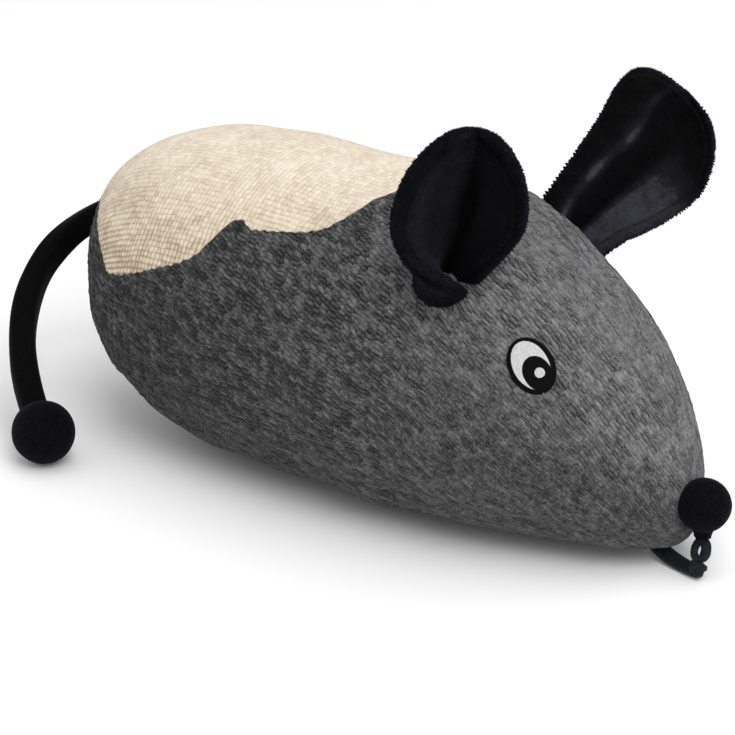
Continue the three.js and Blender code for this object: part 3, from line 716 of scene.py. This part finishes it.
def felt_ball(name, centre, radius, nap_seed):
    shape = bmesh.new()
    bmesh.ops.create_icosphere(shape, subdivisions=6, radius=radius)
    lump_ways = np.random.default_rng(nap_seed).normal(0, 1, (6, 4))
    for vert in shape.verts:
        way = vert.co / radius
        lump = sum(math.sin(5 * (a * way.x + b * way.y + c * way.z) + 3 * d) for a, b, c, d in lump_ways) / 6
        vert.co = centre + way * (radius * (1 - 0.012 + 0.012 * lump))
    made = finished(name, shape)
    made.data.materials.append(felt)
    return made


nose = felt_ball("felt_nose", Vector((nose_x, 0, nose_z)) * MM, nose_radius * MM, 3)
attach(nose, "body")
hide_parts("nose_ball")

neck_shape = bmesh.new()
made = bmesh.ops.create_grid(neck_shape, x_segments=72, y_segments=18, size=0.5)
for vert in made["verts"]:
    angle, down = (vert.co.x + 0.5) * 2 * math.pi, vert.co.y + 0.5
    gather = 1 + 0.07 * math.sin(9 * angle) * down
    radius = (neck_flare * (1 - down) ** 1.6 + neck_radius) * gather
    ring = (nose_x + radius * math.cos(angle), radius * math.sin(angle), neck_top - neck_drop * down)
    vert.co = Vector(ring) * MM
bmesh.ops.remove_doubles(neck_shape, verts=neck_shape.verts, dist=1e-6)
close_ends(neck_shape)
neck = finished("gathered_neck", neck_shape)
neck.data.materials.append(felt)
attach(neck, "body")
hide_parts("nose_neck")

# Chin loop: flat black elastic sewn under the chin, which narrows to a knot that lies on the floor.
# A small eye of the same cord stands on the knot and goes up to the nose ball's neck.
tape_steps, knot_steps, loop_steps = 40, 120, 96
elastic = spun("black elastic", (0.65, 0.1, (0.6, 0.66, 0.9)), (1500.0, 2.0, 0.5, (1, 0.25, 1)),
               (0.004, 0.004, 0.006), (0.016, 0.017, 0.022), (0.5, 0.2))


def swept(name, path, half_width, half_thickness, roll, around=20, closed=False):
    path = np.asarray(path, float)
    ahead = np.roll(path, -1, 0) - np.roll(path, 1, 0) if closed else np.gradient(path, axis=0)
    ahead /= np.linalg.norm(ahead, axis=1, keepdims=True)
    count = len(path)
    steps = count if closed else count - 1
    shape = bmesh.new()
    made = bmesh.ops.create_grid(shape, x_segments=steps, y_segments=around, size=0.5)
    for vert in made["verts"]:
        at = int(round((vert.co.x + 0.5) * steps)) % count
        angle = (vert.co.y + 0.5) * 2 * math.pi
        side_way = np.cross(ahead[at], (0.02, 0.0, 1.0))
        if np.linalg.norm(side_way) < 1e-3:
            side_way = np.array([0, 1.0, 0])
        side_way /= np.linalg.norm(side_way)
        over = np.cross(side_way, ahead[at])
        c, s = math.cos(roll[at]), math.sin(roll[at])
        wide, thick = c * side_way + s * over, c * over - s * side_way
        edge_x = math.copysign(abs(math.cos(angle)) ** 0.6, math.cos(angle))
        edge_y = math.copysign(abs(math.sin(angle)) ** 0.6, math.sin(angle))
        vert.co = (path[at] + wide * edge_x * half_width[at] + thick * edge_y * half_thickness[at]) * MM
    bmesh.ops.remove_doubles(shape, verts=shape.verts, dist=1e-6)
    close_ends(shape)
    return finished(name, shape)


tape_share = np.linspace(0, 1, tape_steps)
tape_path = bow((65.0, 0.5, 5.8), (69.2, -0.6, 1.2), (76.5, -2.3, 1.0), (81.0, -3.8, 1.7))
tape_path = tape_path[np.linspace(0, curve_steps - 1, tape_steps).astype(int)]
tape = swept("chin_band", tape_path, 2.3 - 0.9 * tape_share ** 1.3, 0.5 + 0.4 * tape_share,
             -0.5 * tape_share ** 1.5)
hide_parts("chin_tape")
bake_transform(tape)

angle = np.linspace(0, 2 * math.pi, knot_steps, endpoint=False)
knot_path = np.array([81.6, -4, 2.6]) + np.stack([
    0.36 * (np.sin(angle) + 2 * np.sin(2 * angle)),
    0.3 * np.sin(3 * angle),
    0.44 * (np.cos(angle) - 2 * np.cos(2 * angle)),
], -1)
knot = swept("chin_knot", knot_path, np.full(knot_steps, 1.0), np.full(knot_steps, 0.8),
             np.zeros(knot_steps), 16, True)
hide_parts("loop_knot")
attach(knot, "chin_loop")

angle = np.linspace(0, 2 * math.pi, loop_steps, endpoint=False)
up_loop, over_loop = np.array([-1.6, 4.0, 3.5]) / 5.55, np.array([-0.928, -0.371, 0.0])
loop_path = (np.array([80.8, -2.0, 5.95]) - np.cos(angle)[:, None] * 2.2 * up_loop
             + (np.sin(angle) * (1.2 + 0.2 * np.cos(angle)))[:, None] * over_loop)
loop_half = 0.8 + 0.3 * np.maximum(0, -np.sin(angle))
loop = swept("chin_eye", loop_path, loop_half, 0.82 * loop_half, np.zeros(loop_steps), 16, True)
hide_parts("nose_loop")
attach(loop, "chin_loop")
for piece in (tape, knot, loop):
    piece.data.materials.append(elastic)

# Tail: a black cloth tube round a soft cord, sewn into the rump, that curls down to a felt ball.
# A narrow stem runs on into the rump, where the tube and its cord leave it.
tail_radius, stem_radius, tail_steps = 3.1, 1.6, 90
tail_ball_centre, tail_ball_radius, tail_ball_bite = np.array([-65.8, -47, 7.6]), 7.3, 5.8
tail_cloth = spun("tail cloth", (0.9, 0.03, (0.7, 0.72, 0.8), 0.03), (1700.0, 3.0, 0.6),
                  (0.0008, 0.0008, 0.0008), (0.004, 0.004, 0.0042), (0.4, 0.2))
tail_path = bow((-81.8, 0, 45), (-112.8, 0, 32), (-94.8, -33, 22.6), tail_ball_centre)
tail_path = tail_path[np.linalg.norm(tail_path - tail_ball_centre, axis=1) > tail_ball_bite]
tail_path = tail_path[np.linspace(0, len(tail_path) - 1, tail_steps).astype(int)]
tail_share = np.linspace(0, 1, tail_steps)
tail_half = tail_radius * (1 + 0.02 * np.sin(9 * tail_share + 1) + 0.015 * np.sin(23 * tail_share))
stem_depth = np.array([4.4, 4.2, 3.6, 3.0, 2.6, 2.2, 1.8, 1.4, 1.0, 0.6, 0.3])
stem_half = np.sqrt(np.maximum(tail_radius ** 2 - stem_depth ** 2, stem_radius ** 2))
stem_path = tail_path[0] + stem_depth[:, None] * np.array([0.922, 0, 0.387])
tail_path, tail_half = np.vstack([stem_path, tail_path]), np.concatenate([stem_half, tail_half])
tail = swept("tail_tube", tail_path, tail_half, tail_half, 0 * tail_half, 40)
tail.data.materials.append(tail_cloth)
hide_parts("tail_cover", "tail_root")
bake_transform(tail)

tail_ball = felt_ball("felt_tail_ball", Vector(tail_ball_centre) * MM, tail_ball_radius * MM, 8)
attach(tail_ball, "tail")
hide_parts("tail_ball")

# Inside: white fibre that fills the shell, a cloth sachet of dried leaf, and the cords of nose and tail.
# Each is the solid itself, drawn in a little and roughened, since none of it shows on a whole toy.
white_fibre = spun("white fibre", (0.95, 0.3, (1, 1, 1)), (400.0, 5.0, 0.7),
                   (0.6, 0.6, 0.58), (0.85, 0.85, 0.83), (0.8, 1.0))
natural_cloth = spun("natural cloth", (0.9, 0.1, (1, 1, 1)), (900.0, 2.0, 0.5, (6, 1, 1)),
                     (0.45, 0.4, 0.3), (0.66, 0.6, 0.48), (0.5, 0.2))
dried_leaf = spun("dried leaf", (0.95, 0.0, (1, 1, 1)), (500.0, 4.0, 0.7),
                  (0.06, 0.07, 0.02), (0.2, 0.2, 0.08), (0.9, 0.8))
for node, body, finish, slot_name, cuts, inset, ruffle in (
    ("fibre_filling", "body", white_fibre, "white_fibre", 1, 1.6, 0.25),
    ("sachet_upper_cloth", "body", natural_cloth, "natural_cloth", 1, 0, 0.03),
    ("sachet_lower_cloth", "body", natural_cloth, "natural_cloth", 1, 0, 0.03),
    ("catnip_leaf", "body", dried_leaf, "dried_leaf", 2, 0, 0.1),
    ("nose_shank", "body", black_thread, "black_thread", 1, 0, 0.05),
    ("tail_core", "tail", natural_cloth, "natural_cloth", 1, 0, 0.05),
):
    shape = bmesh.new()
    shape.from_mesh(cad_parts[node].data)
    bmesh.ops.remove_doubles(shape, verts=shape.verts, dist=1e-6)
    bmesh.ops.subdivide_edges(shape, edges=shape.edges, cuts=cuts, use_grid_fill=True)
    shape.normal_update()
    for vert in shape.verts:
        wave = math.sin(900 * vert.co.x + 1) * math.sin(1100 * vert.co.y + 2) * math.sin(1000 * vert.co.z)
        vert.co -= vert.normal * ((inset + ruffle * (0.5 + 0.5 * wave)) * MM)
    inner = finished(f"inner_{node}", shape)
    inner.data.materials.append(finish)
    if body == "tail":
        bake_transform(inner)
    else:
        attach(inner, body)
    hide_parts(node)

# Studio: a pale seamless floor under a white sky, and three soft lights.
# The strongest stands ahead on the right, one hangs overhead, and a weak one fills in from behind.
floor_shape = bmesh.new()
bmesh.ops.create_grid(floor_shape, x_segments=8, y_segments=8, size=4.0)
floor = finished("floor", floor_shape)
pale, tree, coat = finish_of("pale floor", 0.9, 0.0, (1, 1, 1))
tint(tree, coat, noise(tree, 30.0, 2.0, 0.5), (0.0, (0.9, 0.9, 0.9)), (1.0, (0.92, 0.92, 0.92)))
floor.data.materials.append(pale)

for name, place, size, power in (
    ("key", (0.8, -0.5, 1.0), 0.8, 10.0),
    ("fill", (-0.9, -0.8, 0.6), 1.0, 0.5),
    ("top", (0.2, 0.2, 1.4), 1.2, 6.0),
):
    lamp = bpy.data.lights.new(name, "AREA")
    lamp.size = size
    lamp.energy = power
    light = bpy.data.objects.new(name, lamp)
    light.location = place
    light.rotation_euler = (toy_middle - Vector(place)).to_track_quat("-Z", "Y").to_euler()
    bpy.context.scene.collection.objects.link(light)
world = bpy.data.worlds.new("studio")
world.use_nodes = True
sky = world.node_tree.nodes["Background"]
sky.inputs["Color"].default_value = (1, 1, 1, 1)
sky.inputs["Strength"].default_value = 0.68
bpy.context.scene.world = world
